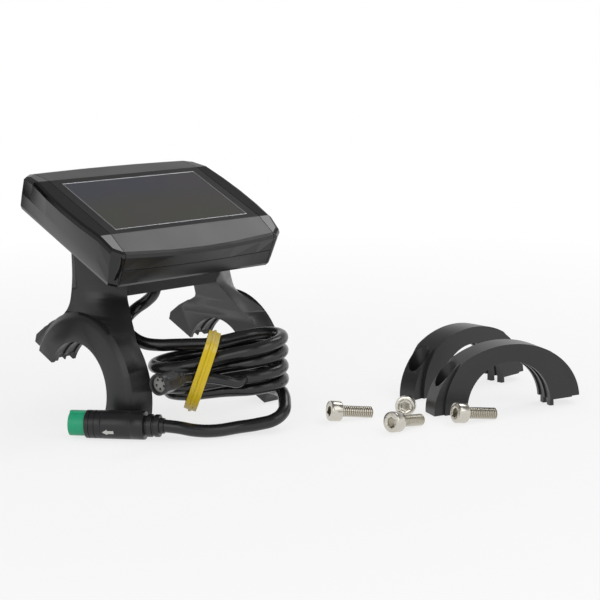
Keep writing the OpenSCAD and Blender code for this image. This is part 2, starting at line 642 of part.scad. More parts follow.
// least gap between turns, measured on the ring centres and on the middles between them
hank_fine = [for (i = [0 : 4 * len(hank_path) - 4]) hank_point(i / rings_per_turn / 4)];
apart = rings_per_turn * 2;
least_gap = min([for (i = [0 : 4 : len(hank_fine) - apart - 1], k = [i + apart : len(hank_fine) - 1])
    norm(hank_fine[i] - hank_fine[k])]) - lead_d;
echo("least gap between the hank's turns", least_gap);
hank_start = hank_path[0];
hank_end = hank_path[len(hank_path) - 1];
hank_first = hank_path[1] - hank_path[0];
hank_last = hank_path[len(hank_path) - 1] - hank_path[len(hank_path) - 2];
hank_sides = 6;
lead_sides = 8;
module lead_hank() color("#101113") tube(hank_path, lead_d, hank_sides, hank_first, hank_last);

// plug: drawn along Z from the insert's tip
plug_place = [-50.9, -14.2];
plug_turn = -54.8;
plug_z = table_z + plug_d / 2;
plug_ahead = [cos(plug_turn), sin(plug_turn), 0];
plug_total = plug_insert_l + collar_l + plug_l + relief_l;
plug_tip = [plug_place[0], plug_place[1], plug_z];
plug_end = plug_tip + plug_ahead * plug_total;
module on_plug() translate(plug_tip) rotate([0, 0, plug_turn]) rotate([0, 90, 0]) children();
key_w = plug_d / 5;
module plug_insert() color("#1ea67a") on_plug() difference() {
    union() {
        cylinder(h = plug_insert_l + collar_l, d = plug_insert_d);
        translate([-plug_insert_d / 2 - key_w / 4, -key_w / 2, 0]) cube([key_w, key_w, plug_insert_l]);
    }
    for (k = [0 : 4]) rotate([0, 0, 72 * k]) translate([plug_insert_d / 4, 0, -over])
        cylinder(h = over + plug_insert_l, d = 2 * pin_d, $fn = 24);
}
module plug_pins() color("#d0b25a") on_plug() for (k = [0 : 4]) rotate([0, 0, 72 * k])
    translate([plug_insert_d / 4, 0, plug_insert_l / 4]) cylinder(h = plug_insert_l * 3 / 4, d = pin_d, $fn = 24);
rib_t = collar_l / 12;
module plug_collar() color("#16171a") on_plug() difference() {
    translate([0, 0, plug_insert_l]) cylinder(h = collar_l, d = collar_d);
    translate([0, 0, plug_insert_l - over]) cylinder(h = collar_l + 2 * over, d = plug_insert_d + 2 * fit);
    for (k = [1 : 3]) translate([0, 0, plug_insert_l + k * collar_l / 6]) difference() {
        cylinder(h = rib_t, d = collar_d + over);
        translate([0, 0, -over]) cylinder(h = rib_t + 2 * over, d = collar_d - rib_t);
    }
}
relief_rings = 3;
module plug_body() color("#141517") on_plug() translate([0, 0, plug_insert_l + collar_l]) {
    cylinder(h = plug_l, d = plug_d);
    translate([0, 0, plug_l]) cylinder(h = relief_l, d = (relief_d + lead_d) / 2);
    pitch = relief_l / relief_rings;
    for (k = [0 : relief_rings - 1]) translate([0, 0, plug_l + (k + 0.3) * pitch])
        cylinder(h = pitch * 0.7, d = relief_d);
}
plug_route = [[-29.8, -44, -8.1], [-25.4, -47.8, -9.3], [-19.7, -50.9, -9.9], [-12, -53.8, -9.6], [-5.9, -57.4, -9],
    [-1.5, -60.1, -7.9], [2.8, -59.9, -6], [6, -57.3, -4]];
module plug_lead() color("#101113") tube(concat([plug_end], plug_route, [hank_start]), lead_d, lead_sides,
    plug_ahead, hank_first);

// lead from the gland to the hank
function from_tilt(p) = [p[0], p[1] * cos(tilt) - p[2] * sin(tilt), p[1] * sin(tilt) + p[2] * cos(tilt)];
gland_end = from_tilt([-gland_left, gland_back, head_base - gland_l]);
lead_route = [[-1, 1.6, 28.1], [-1.8, 4.4, 25.3], [-4.6, 6.8, 22.8], [-9.6, 5.7, 20.5], [-15.7, -0.4, 18.9],
    [-19.7, -8.5, 16.8], [-18.2, -12.7, 14.7], [-15.2, -17.3, 14], [-11.2, -21.2, 14], [-7, -24.9, 14]];
module main_lead() color("#101113") tube(concat([gland_end], lead_route, [hank_end]), lead_d, lead_sides,
    from_tilt([0, 0, -1]), -hank_last);

// socket: drawn along Z from its open face
socket_place = [-41, -47.7, 8.4];
socket_turn = 10.6;
socket_ahead = [cos(socket_turn), sin(socket_turn), 0];
socket_end = socket_place + socket_ahead * (socket_l + socket_relief_l);
module on_socket() translate(socket_place) rotate([0, 0, socket_turn]) rotate([0, 90, 0]) children();
module socket_body() color("#131416") on_socket() difference() {
    union() {
        cylinder(h = socket_l, d = socket_d);
        translate([0, 0, socket_l]) cylinder(h = socket_relief_l, d1 = socket_d * 0.75, d2 = branch_d + 4 * fit);
    }
    translate([0, 0, -over]) cylinder(h = over + socket_l * 0.7, d = socket_insert_d + 2 * fit);
}
module socket_insert() color("#8f9190") on_socket() difference() {
    translate([0, 0, socket_recess]) cylinder(h = socket_l * 0.7 - socket_recess, d = socket_insert_d);
    for (k = [0 : 4]) rotate([0, 0, 72 * k]) translate([socket_insert_d / 3.4, 0, 0])
        cylinder(h = socket_l / 2, d = pin_d * 1.3, $fn = 24);
    translate([-socket_insert_d / 2, 0, 0]) cylinder(h = socket_l / 2, d = 2 * pin_d, $fn = 24);
}
branch_route = [[-26.2, -45.2, 8.2], [-22.9, -46.2, 7.9], [-20.4, -48.5, 7.5], [-17.6, -51.3, 7], [-14.8, -53.5, 6.2],
    [-12.6, -54.3, 5.4]];
module keypad_lead() color("#101113") tube(concat([socket_end], branch_route), branch_d, lead_sides, socket_ahead);

// tie: a flat band round the hank and the keypad lead
tie_place = -6.6;
tie_mid = hank_low + 2 * hank_step + lead_d / 8;
tie_near = hank_r + hank_weave + lead_d / 2 + branch_d + tie_gap;
tie_far = hank_r + hank_weave * 0.7 + lead_d / 2 + tie_gap;
tie_half = 2 * hank_step + lead_d / 2 + tie_gap + tie_w * sin(tie_lean) / 2;
tie_shares = [[-1, 0.45], [-0.8, 0.82], [-0.58, 1], [0.75, 1], [1, 0.75], [1, -0.6], [0.75, -1], [-0.55, -1],
    [-0.8, -0.75], [-1, -0.25]];
module tie_outline() polygon([for (p = tie_shares) [p[0] * (p[0] < 0 ? tie_near : tie_far), p[1] * tie_half]]);
module hank_tie() color("#d9c022") translate([hank_place[0], hank_place[1], tie_mid]) rotate([0, 0, hank_turn])
    translate([tie_place, 0, 0]) rotate([0, tie_lean, 0]) translate([-tie_w / 2, 0, 0]) across(tie_w) difference() {
        offset(r = tie_t, $fn = 24) tie_outline();
        tie_outline();
    }

top_cover();
bottom_case();
left_side_trim();
right_side_trim();
screen_window();
window_rim();
window_gasket();
display_panel();
backlight();
panel_flex();
main_board();
processor();
lead_header();
case_seal();
case_screws();
lead_gland();
bracket();
bracket_screws();
thread_inserts();
near_clamp_cap();
far_clamp_cap();
clamp_screw_1();
clamp_screw_2();
clamp_screw_3();
clamp_screw_4();
main_lead();
lead_hank();
plug_lead();
plug_body();
plug_collar();
plug_insert();
plug_pins();
keypad_lead();
socket_body();
socket_insert();
hank_tie();
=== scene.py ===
import bpy, bmesh, math
from mathutils import Vector, Matrix


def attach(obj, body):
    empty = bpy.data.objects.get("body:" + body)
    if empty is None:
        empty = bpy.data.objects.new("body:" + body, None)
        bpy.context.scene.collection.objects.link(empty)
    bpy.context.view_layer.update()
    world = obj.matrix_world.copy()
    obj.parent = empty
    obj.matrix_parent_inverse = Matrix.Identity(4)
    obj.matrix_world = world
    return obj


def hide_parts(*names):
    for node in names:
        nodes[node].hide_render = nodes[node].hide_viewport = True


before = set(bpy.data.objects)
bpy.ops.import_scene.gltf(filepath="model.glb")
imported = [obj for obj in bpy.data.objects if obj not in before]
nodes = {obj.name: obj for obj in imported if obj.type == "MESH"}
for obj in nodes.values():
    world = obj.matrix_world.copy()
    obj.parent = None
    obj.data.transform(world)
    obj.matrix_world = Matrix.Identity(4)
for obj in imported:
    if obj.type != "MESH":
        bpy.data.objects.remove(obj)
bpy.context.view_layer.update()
scene = bpy.context.scene
mm = 0.001

# Where the display, the caps, the screws and the plug stand
tableTop = -12.43 * mm


def linked(name, data):
    thing = bpy.data.objects.new(name, data)
    scene.collection.objects.link(thing)
    return thing


def meshFrom(bm, name):
    mesh = bpy.data.meshes.new(name)
    bm.to_mesh(mesh)
    bm.free()
    return mesh


# Camera: where the photograph was taken from, worked out from the clamps, the head and the table
camera = {"place": (-396.4, -477.2, 125.0), "yaw": 44.34, "pitch": -9.18, "roll": -0.92, "lens": 106.25,
          "sensor": 36, "nearest": 0.01, "farthest": 20}


def addCamera():
    data = bpy.data.cameras.new("photoCamera")
    data.lens = camera["lens"]
    data.sensor_width = camera["sensor"]
    data.clip_start = camera["nearest"]
    data.clip_end = camera["farthest"]
    cam = linked("photoCamera", data)
    turn = Matrix.Rotation(math.radians(-camera["yaw"]), 4, "Z")
    turn = turn @ Matrix.Rotation(math.radians(90 + camera["pitch"]), 4, "X")
    turn = turn @ Matrix.Rotation(math.radians(camera["roll"]), 4, "Z")
    cam.matrix_world = Matrix.Translation(Vector(camera["place"]) * mm) @ turn
    scene.camera = cam


# Materials
def newMaterial(name):
    mat = bpy.data.materials.new(name)
    mat.use_nodes = True
    tree = mat.node_tree
    tree.nodes.clear()
    out = tree.nodes.new("ShaderNodeOutputMaterial")
    shader = tree.nodes.new("ShaderNodeBsdfPrincipled")
    tree.links.new(shader.outputs[0], out.inputs[0])
    return mat, tree, shader


def noise(tree, scale, detail=3, rough=0.55):
    coords = tree.nodes.new("ShaderNodeTexCoord")
    tex = tree.nodes.new("ShaderNodeTexNoise")
    tex.inputs["Scale"].default_value = scale
    tex.inputs["Detail"].default_value = detail
    tex.inputs["Roughness"].default_value = rough
    tree.links.new(coords.outputs["Object"], tex.inputs["Vector"])
    return tex


def spread(tree, source, low, high):
    node = tree.nodes.new("ShaderNodeMapRange")
    node.inputs["To Min"].default_value = low
    node.inputs["To Max"].default_value = high
    tree.links.new(source, node.inputs["Value"])
    return node.outputs[0]


def shades(tree, source, low, high):
    mix = tree.nodes.new("ShaderNodeMix")
    mix.data_type = "RGBA"
    mix.inputs["A"].default_value = (*low, 1)
    mix.inputs["B"].default_value = (*high, 1)
    tree.links.new(source, mix.inputs["Factor"])
    return mix.outputs["Result"]


def relief(tree, shader, source, height, strength=0.5):
    bump = tree.nodes.new("ShaderNodeBump")
    bump.inputs["Distance"].default_value = height
    bump.inputs["Strength"].default_value = strength
    tree.links.new(source, bump.inputs["Height"])
    tree.links.new(bump.outputs[0], shader.inputs["Normal"])


# Moulded plastic or rubber: a little uneven in tone and gloss, with the mould's fine grain
plasticCloud = {"scale": 45, "glossLow": 0.8, "glossHigh": 1.25}


def moulded(name, tone, rough, gloss=0.5, grain=2600, depth=0.00002, spreadShare=0.25):
    mat, tree, shader = newMaterial(name)
    shader.inputs["Specular IOR Level"].default_value = gloss
    cloud = noise(tree, plasticCloud["scale"], 4)
    low = [c * (1 - spreadShare) for c in tone]
    high = [c * (1 + spreadShare) for c in tone]
    tree.links.new(shades(tree, cloud.outputs[0], low, high), shader.inputs["Base Color"])
    gloss = spread(tree, cloud.outputs[0], rough * plasticCloud["glossLow"], rough * plasticCloud["glossHigh"])
    tree.links.new(gloss, shader.inputs["Roughness"])
    relief(tree, shader, noise(tree, grain, 2).outputs[0], depth)
    return mat


# Metal: fine marks that shift its tone and gloss a little
metalMarks = {"scale": 1500, "darkest": 0.82, "glossLow": 0.7, "glossHigh": 1.4, "depth": 0.00001}


def metal(name, tone, rough):
    mat, tree, shader = newMaterial(name)
    shader.inputs["Metallic"].default_value = 1
    marks = noise(tree, metalMarks["scale"], 3, 0.6)
    low = [c * metalMarks["darkest"] for c in tone]
    tree.links.new(shades(tree, marks.outputs[0], low, tone), shader.inputs["Base Color"])
    gloss = spread(tree, marks.outputs[0], rough * metalMarks["glossLow"], rough * metalMarks["glossHigh"])
    tree.links.new(gloss, shader.inputs["Roughness"])
    relief(tree, shader, marks.outputs[0], metalMarks["depth"], 0.3)
    return mat


# The window over the screen: dark glass whose colour carries a painted reflection, drifting from blue at the back to
# olive at the front
windowGlass = {"back": (0.040, 0.043, 0.062), "front": (0.046, 0.050, 0.036), "warm": (0.056, 0.046, 0.046),
               "rough": 0.13, "coat": 0.6, "coatRough": 0.04, "lean": -25.6, "middle": 26.4 * mm, "depth": 31 * mm,
               "blueFrom": 0.35, "oliveFrom": 0.2, "driftScale": 38, "waveScale": 300, "waveDepth": 0.000004}


def glassMaterial():
    mat, tree, shader = newMaterial("windowGlass")
    shader.inputs["Roughness"].default_value = windowGlass["rough"]
    shader.inputs["Coat Weight"].default_value = windowGlass["coat"]
    shader.inputs["Coat Roughness"].default_value = windowGlass["coatRough"]
    coords = tree.nodes.new("ShaderNodeTexCoord")
    mapping = tree.nodes.new("ShaderNodeMapping")
    mapping.inputs["Rotation"].default_value = (math.radians(windowGlass["lean"]), 0, 0)
    parts = tree.nodes.new("ShaderNodeSeparateXYZ")
    tree.links.new(coords.outputs["Object"], mapping.inputs[0])
    tree.links.new(mapping.outputs[0], parts.inputs[0])
    along = tree.nodes.new("ShaderNodeMapRange")
    along.interpolation_type = "SMOOTHSTEP"
    middle, depth = windowGlass["middle"], windowGlass["depth"]
    along.inputs["From Min"].default_value = middle + depth * windowGlass["blueFrom"]
    along.inputs["From Max"].default_value = middle - depth * windowGlass["oliveFrom"]
    tree.links.new(parts.outputs["Y"], along.inputs["Value"])
    # Painted reflection: the glass colour goes from blue at the back to olive at the front along the window's slope
    paintedReflection = shades(tree, along.outputs[0], windowGlass["back"], windowGlass["front"])
    drift = noise(tree, windowGlass["driftScale"], 1)
    mix = tree.nodes.new("ShaderNodeMix")
    mix.data_type = "RGBA"
    mix.inputs["B"].default_value = (*windowGlass["warm"], 1)
    tree.links.new(paintedReflection, mix.inputs["A"])
    tree.links.new(spread(tree, drift.outputs[0], -0.6, 1.2), mix.inputs["Factor"])
    tree.links.new(mix.outputs["Result"], shader.inputs["Base Color"])
    waves = noise(tree, windowGlass["waveScale"], 1)
    relief(tree, shader, waves.outputs[0], windowGlass["waveDepth"], 0.2)
    return mat


finishes = {
    "cover_plastic": moulded("coverPlastic", (0.012, 0.012, 0.013), 0.3, 0.5),
    "case_plastic": moulded("casePlastic", (0.011, 0.011, 0.012), 0.3, 0.45),
    "trim_plastic": moulded("trimPlastic", (0.007, 0.007, 0.008), 0.16, 0.5, 1200, 0.000006),
    "window_glass": glassMaterial(),
    "bright_rim": metal("brightRim", (0.75, 0.76, 0.78), 0.22),
    "seal_rubber": moulded("sealRubber", (0.02, 0.02, 0.02), 0.6, 0.4),
    "panel_glass": moulded("panelGlass", (0.04, 0.045, 0.05), 0.15),
    "white_plastic": moulded("whitePlastic", (0.78, 0.78, 0.74), 0.4),
    "flex_film": moulded("flexFilm", (0.42, 0.18, 0.03), 0.35),
    "board": moulded("board", (0.014, 0.10, 0.035), 0.3),
    "chip_plastic": moulded("chipPlastic", (0.015, 0.015, 0.016), 0.5),
    "bracket_plastic": moulded("bracketPlastic", (0.02, 0.02, 0.021), 0.34, 0.5, 3000, 0.00003),
    "stainless": metal("stainless", (0.68, 0.65, 0.58), 0.18),
    "insert_brass": metal("insertBrass", (0.72, 0.52, 0.22), 0.3),
    "lead_rubber": moulded("leadRubber", (0.009, 0.009, 0.01), 0.24, 0.55, 900, 0.00003),
    "plug_plastic": moulded("plugPlastic", (0.012, 0.012, 0.014), 0.33, 0.5),
    "green_plastic": moulded("greenPlastic", (0.012, 0.40, 0.20), 0.38, 0.5, spreadShare=0.12),
    "grey_plastic": moulded("greyPlastic", (0.27, 0.27, 0.26), 0.45, 0.4, spreadShare=0.12),
    "pin_brass": metal("pinBrass", (0.80, 0.62, 0.28), 0.25),
    "tie_plastic": moulded("tiePlastic", (0.72, 0.52, 0.01), 0.32, 0.5, 1500, 0.00004, 0.1),
}
print("finishes made:", len(finishes))


# Every new piece goes through here: mesh, finish, edge rounding, and the body that it moves with
def finished(name, bm, slotName, body, replaced=(), bevel=0, segments=2, angle=32):
    mesh = meshFrom(bm, name)
    mesh.materials.append(finishes[slotName])
    mesh.shade_smooth()
    mesh.set_sharp_from_angle(angle=math.radians(angle))
    piece = linked(name, mesh)
    if bevel:
        rounding = piece.modifiers.new("edges", "BEVEL")
        rounding.limit_method = "ANGLE"
        rounding.angle_limit = math.radians(angle)
        rounding.width = bevel
        rounding.segments = segments
        rounding.harden_normals = True
        rounding.use_clamp_overlap = True
    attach(piece, body)
    if replaced:
        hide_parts(*replaced)
    return piece


# A merged copy of a moulding, with its flat faces whole again so that its edges can be rounded
def moulding(node, flatWithin=0.6):
    bm = bmesh.new()
    bm.from_mesh(nodes[node].data)
    bmesh.ops.remove_doubles(bm, verts=bm.verts, dist=0.002 * mm)
    bmesh.ops.dissolve_limit(bm, angle_limit=math.radians(flatWithin), verts=bm.verts, edges=bm.edges)
    return bm


# Leads: the routes and the hank as the part has them, in millimetres
lead = {"diameter": 4.3, "branchDiameter": 3.6, "glandEnd": (-1, -0.183, 31.85), "plugEnd": (-32.45, -40.35, -7.68),
        "socketEnd": (-29.2, -45.49, 8.4), "length": 0.58}
leadRoute = [(-1, 1.6, 28.1), (-1.8, 4.4, 25.3), (-4.6, 6.8, 22.8), (-9.6, 5.7, 20.5), (-15.7, -0.4, 18.9),
             (-19.7, -8.5, 16.8), (-18.2, -12.7, 14.7), (-15.2, -17.3, 14), (-11.2, -21.2, 14), (-7, -24.9, 14)]
plugRoute = [(-29.8, -44, -8.1), (-25.4, -47.8, -9.3), (-19.7, -50.9, -9.9), (-12, -53.8, -9.6), (-5.9, -57.4, -9),
             (-1.5, -60.1, -7.9), (2.8, -59.9, -6), (6, -57.3, -4)]
branchRoute = [(-26.2, -45.2, 8.2), (-22.9, -46.2, 7.9), (-20.4, -48.5, 7.5), (-17.6, -51.3, 7), (-14.8, -53.5, 6.2),
               (-12.5, -54.3, 5.6), (-10.4, -54.1, 6), (-8.2, -53.2, 6.2)]
hank = {"place": (-5.2, -38.7), "turn": -44.4, "low": -1.8, "turns": 4.3, "radius": 11.2, "weave": 2.45,
        "run": 9.2, "waist": 1.2, "step": 3.95, "fan": 0.95, "pointsPerTurn": 24}


def hankXY(along, across):
    turn = math.radians(hank["turn"])
    return (hank["place"][0] + along * math.cos(turn) - across * math.sin(turn),
            hank["place"][1] + along * math.sin(turn) + across * math.cos(turn))


# t counts turns; each is half circle, run, half circle, run, drawn in at the waist and fanned at one end
def hankPoint(t):
    radius = hank["radius"] + hank["weave"] * math.cos(math.pi * (t + 0.5))
    u = t - math.floor(t)
    arcShare = math.pi * hank["radius"] / (2 * math.pi * hank["radius"] + 4 * hank["run"])
    runShare = 0.5 - arcShare
    if u < arcShare / 2:
        side, angle = 1, u / arcShare * 180
    elif u < arcShare / 2 + runShare:
        side, angle = 1 - 2 * (u - arcShare / 2) / runShare, 90
    elif u < arcShare * 1.5 + runShare:
        side, angle = -1, 90 + (u - arcShare / 2 - runShare) / arcShare * 180
    elif u < 1 - arcShare / 2:
        side, angle = 2 * (u - arcShare * 1.5 - runShare) / runShare - 1, 270
    else:
        side, angle = 1, 270 + (u - 1 + arcShare / 2) / arcShare * 180
    draw = hank["waist"] * (1 + math.cos(math.pi * side)) / 2 if abs(side) < 1 else 0
    bend = math.radians(angle)
    x, y = hankXY(side * hank["run"] + radius * math.cos(bend), (radius - draw) * math.sin(bend))
    return x, y, hank["low"] + t * (hank["step"] + hank["fan"] * math.cos(2 * math.pi * u))


def leadCurve(name, points, diameter, replaced):
    curve = bpy.data.curves.new(name, "CURVE")
    curve.dimensions = "3D"
    curve.bevel_depth = diameter / 2 * mm
    curve.bevel_resolution = 5
    curve.resolution_u = 4
    curve.use_fill_caps = True
    spline = curve.splines.new("BEZIER")
    spline.bezier_points.add(len(points) - 1)
    for knot, place in zip(spline.bezier_points, points):
        knot.co = Vector(place) * mm
        knot.handle_left_type = "AUTO"
        knot.handle_right_type = "AUTO"
    curve.materials.append(finishes["lead_rubber"])
    piece = linked(name, curve)
    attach(piece, "display")
    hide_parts(*replaced)
    return piece


hankPoints = [hankPoint(i / hank["pointsPerTurn"]) for i in range(round(hank["turns"] * hank["pointsPerTurn"]) + 1)]
mainPoints = [lead["glandEnd"]] + leadRoute + hankPoints[::-1] + plugRoute[::-1] + [lead["plugEnd"]]
mainLead = leadCurve("mainLead", mainPoints, lead["diameter"], ("main_lead", "lead_hank", "plug_lead"))
keypadLead = leadCurve("keypadLead", [lead["socketEnd"]] + branchRoute, lead["branchDiameter"], ("keypad_lead",))
print("leads laid:", len(mainPoints), "points")


# Head: the covers and trims keep their shapes, with their edges rounded
head = {"edge": 0.22, "trimEdge": 0.3, "windowEdge": 0.12, "rimEdge": 0.1, "glandEdge": 0.3, "shading": 9}


def roundedNode(node, name, slotName, body, bevel, segments=2, angle=32, flatWithin=0.6):
    return finished(name, moulding(node, flatWithin), slotName, body, (node,), bevel * mm, segments, angle)


for node, name, slotName, edge in (
        ("top_cover", "topCover", "cover_plastic", head["edge"]),
        ("bottom_case", "bottomCase", "case_plastic", head["edge"]),
        ("left_side_trim", "leftSideTrim", "trim_plastic", head["trimEdge"]),
        ("right_side_trim", "rightSideTrim", "trim_plastic", head["trimEdge"])):
    cover = roundedNode(node, name, slotName, "display", edge, 3)
    cover.data.set_sharp_from_angle(angle=math.radians(head["shading"]))
roundedNode("screen_window", "screenWindow", "window_glass", "display", head["windowEdge"])
roundedNode("window_rim", "windowRim", "bright_rim", "display", head["rimEdge"])
leadGland = roundedNode("lead_gland", "leadGland", "lead_rubber", "display", head["glandEdge"])
print("head dressed")

# Bracket and caps: rounding the bracket's edges folds its legs, so it only gets sharp edges above an angle
clamps = {"bracketSharp": 40, "bracketFlat": 0.05, "capEdge": 0.25}
roundedNode("bracket", "bracket", "bracket_plastic", "display", 0, angle=clamps["bracketSharp"],
            flatWithin=clamps["bracketFlat"])
roundedNode("near_clamp_cap", "nearClampCap", "bracket_plastic", "near_cap", clamps["capEdge"], 3)
roundedNode("far_clamp_cap", "farClampCap", "bracket_plastic", "far_cap", clamps["capEdge"], 3)
print("bracket and caps dressed")


# A turned shape along Z: each row is radius, height and, where the row is a polygon, its number of corners
def turned(rows, sides=48):
    bm = bmesh.new()
    ring = bmesh.ops.create_circle(bm, cap_ends=True, radius=1, segments=sides)["verts"]
    edges = list({edge for vert in ring for edge in vert.link_edges})
    for i, row in enumerate(rows):
        if i:
            grown = bmesh.ops.extrude_edge_only(bm, edges=edges)["geom"]
            ring = [part for part in grown if isinstance(part, bmesh.types.BMVert)]
            edges = [part for part in grown if isinstance(part, bmesh.types.BMEdge)]
        corners = row[2] if len(row) > 2 else 0
        for vert in ring:
            angle = math.atan2(vert.co.y, vert.co.x)
            radius = row[0] * mm
            if corners:
                wedge = math.tau / corners
                radius /= math.cos(angle % wedge - wedge / 2)
            vert.co = (radius * math.cos(angle), radius * math.sin(angle), row[1] * mm)
    bmesh.ops.contextual_create(bm, geom=edges)
    bmesh.ops.recalc_face_normals(bm, faces=bm.faces)
    return bm


def settle(bm, place, turn, tip):
    spot = Matrix.Translation(Vector(place) * mm)
    spot = spot @ Matrix.Rotation(math.radians(turn), 4, "Z") @ Matrix.Rotation(math.radians(tip), 4, "Y")
    bmesh.ops.transform(bm, matrix=spot, verts=bm.verts)
    return bm


# Clamp screws: M4 socket heads with a hex recess and a rolled thread
screw = {"headRadius": 3.5, "headHeight": 4, "length": 12, "radius": 2, "core": 1.48, "pitch": 0.7,
         "hexHalf": 1.5, "hexDepth": 2.2, "stepsPerTurn": 20, "turns": 16.2}
screwPlaces = [(21.8, -62.5, -24.3), (43.8, -77.4, 36), (23.2, -89.7, 2.4), (47.8, -96.4, -20.3)]
screwBodies = ["screw_one", "screw_two", "screw_three", "screw_four"]


def addThread(bm):
    start = screw["headHeight"] + 0.15
    profile = [(screw["core"] - 0.15, 0), (screw["radius"], 0.26), (screw["radius"], 0.38),
               (screw["core"] - 0.15, 0.64)]
    verts = [bm.verts.new((r * mm, 0, (start + z) * mm)) for r, z in profile]
    loop = [bm.edges.new((verts[i], verts[(i + 1) % 4])) for i in range(4)]
    steps = round(screw["turns"] * screw["stepsPerTurn"])
    rise = screw["pitch"] / screw["stepsPerTurn"] * mm
    bmesh.ops.spin(bm, geom=verts + loop, cent=(0, 0, 0), axis=(0, 0, 1), dvec=(0, 0, rise),
                   angle=math.tau * screw["turns"], steps=steps, use_merge=False, use_duplicate=False)
    ends = [edge for edge in bm.edges if edge.is_boundary]
    bmesh.ops.holes_fill(bm, edges=ends, sides=4)


def makeScrew():
    top, foot = screw["headHeight"], screw["headHeight"] + screw["length"]
    r, core = screw["headRadius"], screw["core"]
    bm = turned([(screw["hexHalf"], screw["hexDepth"], 6), (screw["hexHalf"], 0.2, 6), (1.95, 0), (2.95, 0),
                 (3.28, 0.1), (3.45, 0.35), (r, 0.7), (r, top - 0.3), (3.38, top), (core + 0.3, top),
                 (core, top + 0.2), (core, foot - 0.3), (core - 0.35, foot)])
    addThread(bm)
    bmesh.ops.recalc_face_normals(bm, faces=bm.faces)
    return bm


screwLean = math.degrees(math.asin((screw["headRadius"] - screw["radius"]) / screw["length"]))
screwHeight = (tableTop / mm + screw["headRadius"] * math.cos(math.radians(screwLean))
               + screw["headHeight"] * math.sin(math.radians(screwLean)))
for i, (x, y, turn) in enumerate(screwPlaces):
    bm = settle(makeScrew(), (x, y, screwHeight), turn, 90 + screwLean)
    finished("clampScrew" + str(i + 1), bm, "stainless", screwBodies[i], ("clamp_screw_" + str(i + 1),), angle=30)
print("screws made:", len(screwPlaces))

# Plug: along its own axis from the insert's tip
plug = {"place": (-50.9, -14.2, -7.68), "turn": -54.8, "radius": 4.75, "insertEdge": 0.2}
plugBodyRows = [(4.05, 11.2), (4.6, 11.2), (4.75, 11.4), (4.75, 20.9), (4.69, 21), (4.69, 21.2), (4.75, 21.3),
                (4.75, 25.3), (4.6, 25.6), (3.2, 25.65), (3.2, 26.3), (3.65, 26.35), (3.8, 26.5), (3.8, 28),
                (3.65, 28.15), (3.2, 28.2), (3.2, 28.85), (3.6, 28.9), (3.75, 29.05), (3.75, 30.4), (3.6, 30.6),
                (2.7, 30.7), (2.55, 32), (2.2, 32)]
collarRows = [(4.0, 5.6), (4.55, 5.6), (4.7, 5.8), (4.7, 7.0), (4.45, 7.05), (4.45, 7.4), (4.7, 7.45),
              (4.7, 8.9), (4.5, 8.95), (4.5, 9.2), (4.7, 9.25), (4.7, 11.0), (4.6, 11.18), (4.0, 11.2)]
arrow = {"from": 11.9, "length": 3.9, "headLength": 1.7, "headHalf": 1.05, "stemHalf": 0.55, "proud": 0.03,
         "around": 291}


def settlePlug(bm):
    return settle(bm, plug["place"], plug["turn"], 90)


# The arrow that shows which way the plug goes in, printed round the body
def makeArrow():
    bm = bmesh.new()
    neck = arrow["from"] + arrow["headLength"]
    tail = arrow["from"] + arrow["length"]
    outline = [(arrow["from"], 0), (neck, arrow["headHalf"]), (neck, arrow["stemHalf"]), (tail, arrow["stemHalf"]),
               (tail, -arrow["stemHalf"]), (neck, -arrow["stemHalf"]), (neck, -arrow["headHalf"])]
    face = bm.faces.new([bm.verts.new((0, side, along)) for along, side in outline])
    raised = bmesh.ops.extrude_face_region(bm, geom=[face])["geom"]
    for vert in [part for part in raised if isinstance(part, bmesh.types.BMVert)]:
        vert.co.x = 1
    bmesh.ops.triangulate(bm, faces=bm.faces)
    bmesh.ops.subdivide_edges(bm, edges=bm.edges, cuts=2)
    for vert in bm.verts:
        radius = plug["radius"] + (arrow["proud"] if vert.co.x > 0.5 else -arrow["proud"])
        angle = math.radians(arrow["around"]) + vert.co.y / plug["radius"]
        vert.co = (radius * math.cos(angle) * mm, radius * math.sin(angle) * mm, vert.co.z * mm)
    bmesh.ops.recalc_face_normals(bm, faces=bm.faces)
    return bm


plugBody = finished("plugBody", settlePlug(turned(plugBodyRows, 64)), "plug_plastic", "display", ("plug_body",))
plugCollar = finished("plugCollar", settlePlug(turned(collarRows, 64)), "plug_plastic", "display",
                      ("plug_collar",))
plugArrow = finished("plugArrow", settlePlug(makeArrow()), "white_plastic", "display")
plugInsert = roundedNode("plug_insert", "plugInsert", "green_plastic", "display", plug["insertEdge"])
print("plug made")

# Socket of the keypad lead
socket = {"place": (-41, -47.7, 8.4), "turn": 10.6, "insertEdge": 0.07}
socketRows = [(2.72, 6.2), (2.72, 0.25), (2.9, 0), (3.35, 0), (3.58, 0.2), (3.6, 0.5), (3.6, 1.5), (3.42, 1.7),
              (3.15, 2.2, 6), (3.15, 7.4, 6), (2.9, 8.4), (2.7, 9), (2.35, 9.1), (2.35, 9.7), (2.5, 9.8),
              (2.45, 10.6), (2.2, 10.7), (2.2, 11.1), (2.3, 11.2), (2.2, 11.9), (1.9, 12)]
socketBody = finished("socketBody", settle(turned(socketRows), socket["place"], socket["turn"], 90), "plug_plastic",
                      "display", ("socket_body",), angle=35)
socketInsert = roundedNode("socket_insert", "socketInsert", "grey_plastic", "display", socket["insertEdge"])
print("socket made")

# Tie: a flat band with a wire down its middle, drawn round the hank
tie = {"along": -6.6, "mid": 6.64, "lean": 20, "near": 20.25, "far": 15.87, "half": 11.57, "width": 4.2,
       "thick": 0.8, "wire": 1.15, "edge": 0.12}
tieShares = [(-1, 0.45), (-0.8, 0.82), (-0.58, 1), (0.75, 1), (1, 0.75), (1, -0.6), (0.75, -1), (-0.55, -1),
             (-0.8, -0.75), (-1, -0.25)]


